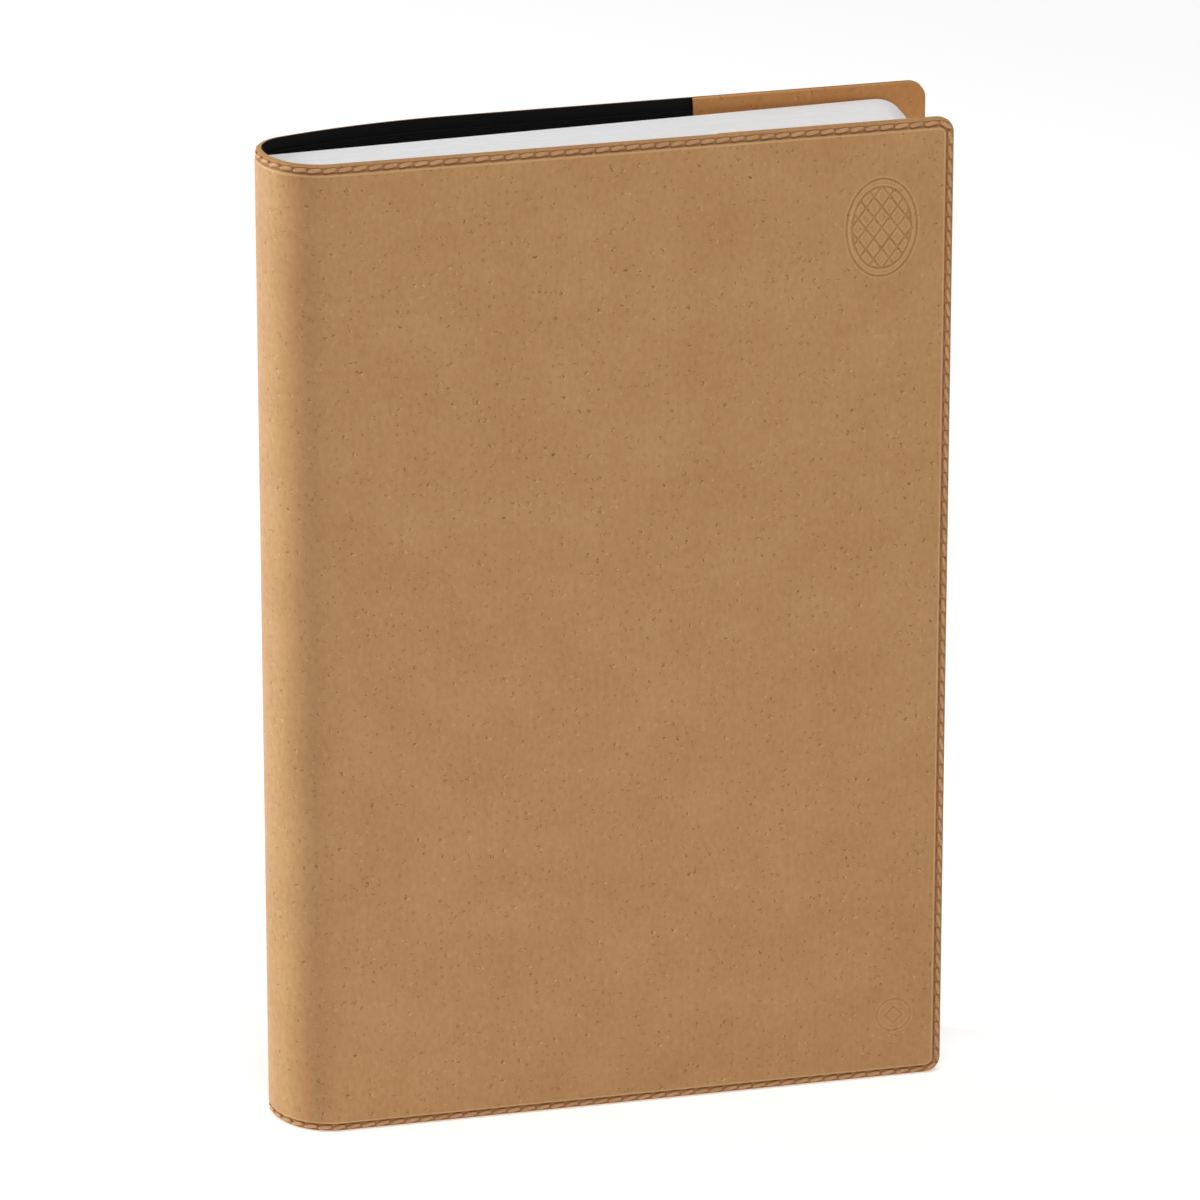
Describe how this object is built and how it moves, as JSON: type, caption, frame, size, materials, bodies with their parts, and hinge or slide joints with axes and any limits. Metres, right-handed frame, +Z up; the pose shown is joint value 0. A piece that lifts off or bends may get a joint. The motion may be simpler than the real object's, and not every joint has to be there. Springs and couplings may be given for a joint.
{
  "type": "leather notebook cover",
  "caption": "Soft tan leather notebook cover with rounded spine, stitched edges, inner pocket flaps and a slide-in notebook of sewn pages; covers and pages hinge open.",
  "frame": {"origin": "centre of the closed cover's footprint, on the plane its bottom edges stand on", "axes": "+Z up along the spine, +X from the spine to the fore-edge, +Y from the front cover to the back cover"},
  "size_m": [0.165, 0.03, 0.248],
  "materials": {
    "cover_leather": "matt bonded leather, tan, fine fibre fleck",
    "flap_leather": "matt bonded leather, tan",
    "interliner_board": "grey-brown stiffener",
    "black_lining": "matt black bonded leather lining",
    "thread": "waxed tan thread",
    "black_card": "smooth black card",
    "paper": "uncoated white paper"
  },
  "bodies": {
    "binding": {"spine_leather": "cover_leather", "spine_interliner": "interliner_board", "spine_lining": "black_lining", "spine_stitching": "thread", "notebook_spine_card": "black_card", "signature_07": "paper", "signature_08": "paper", "signature_09": "paper", "signature_10": "paper", "signature_11": "paper", "signature_12": "paper"},
    "front_cover": {"front_cover_leather": "cover_leather", "front_interliner": "interliner_board", "front_lining": "black_lining", "front_flap": "flap_leather", "front_stitching": "thread", "notebook_front_card": "black_card"},
    "back_cover": {"back_cover_leather": "cover_leather", "back_interliner": "interliner_board", "back_lining": "black_lining", "back_flap": "flap_leather", "back_stitching": "thread", "notebook_back_card": "black_card"},
    "section_06": {"signature_06": "paper"},
    "section_05": {"signature_05": "paper"},
    "section_04": {"signature_04": "paper"},
    "section_03": {"signature_03": "paper"},
    "section_02": {"signature_02": "paper"},
    "section_01": {"signature_01": "paper"}
  },
  "joints": [
    {"name": "front_cover_hinge", "type": "hinge", "parent": "binding", "child": "front_cover", "pos_m": [-0.07917, -0.01167, 0], "axis": [0, 0, -1], "range_deg": [0, 90]},
    {"name": "back_cover_hinge", "type": "hinge", "parent": "binding", "child": "back_cover", "pos_m": [-0.07815, 0.01065, 0], "axis": [0, 0, 1], "range_deg": [0, 90]},
    {"name": "section_06_turn", "type": "hinge", "parent": "binding", "child": "section_06", "pos_m": [-0.07788, -0.00335, 0], "axis": [0, 0, -1], "range_deg": [0, 10.8]},
    {"name": "section_05_turn", "type": "hinge", "parent": "section_06", "child": "section_05", "pos_m": [-0.07686, -0.00473, 0], "axis": [0, 0, -1], "range_deg": [0, 10.8]},
    {"name": "section_04_turn", "type": "hinge", "parent": "section_05", "child": "section_04", "pos_m": [-0.07553, -0.00612, 0], "axis": [0, 0, -1], "range_deg": [0, 10.8]},
    {"name": "section_03_turn", "type": "hinge", "parent": "section_04", "child": "section_03", "pos_m": [-0.07395, -0.0075, 0], "axis": [0, 0, -1], "range_deg": [0, 10.8]},
    {"name": "section_02_turn", "type": "hinge", "parent": "section_03", "child": "section_02", "pos_m": [-0.07215, -0.00888, 0], "axis": [0, 0, -1], "range_deg": [0, 10.8]},
    {"name": "section_01_turn", "type": "hinge", "parent": "section_02", "child": "section_01", "pos_m": [-0.07016, -0.01027, 0], "axis": [0, 0, -1], "range_deg": [0, 10.8]}
  ],
  "couplings": [
    {"joint": "section_06_turn", "follows": "front_cover_hinge", "ratio": 0.12},
    {"joint": "section_05_turn", "follows": "front_cover_hinge", "ratio": 0.12},
    {"joint": "section_04_turn", "follows": "front_cover_hinge", "ratio": 0.12},
    {"joint": "section_03_turn", "follows": "front_cover_hinge", "ratio": 0.12},
    {"joint": "section_02_turn", "follows": "front_cover_hinge", "ratio": 0.12},
    {"joint": "section_01_turn", "follows": "front_cover_hinge", "ratio": 0.12}
  ]
}
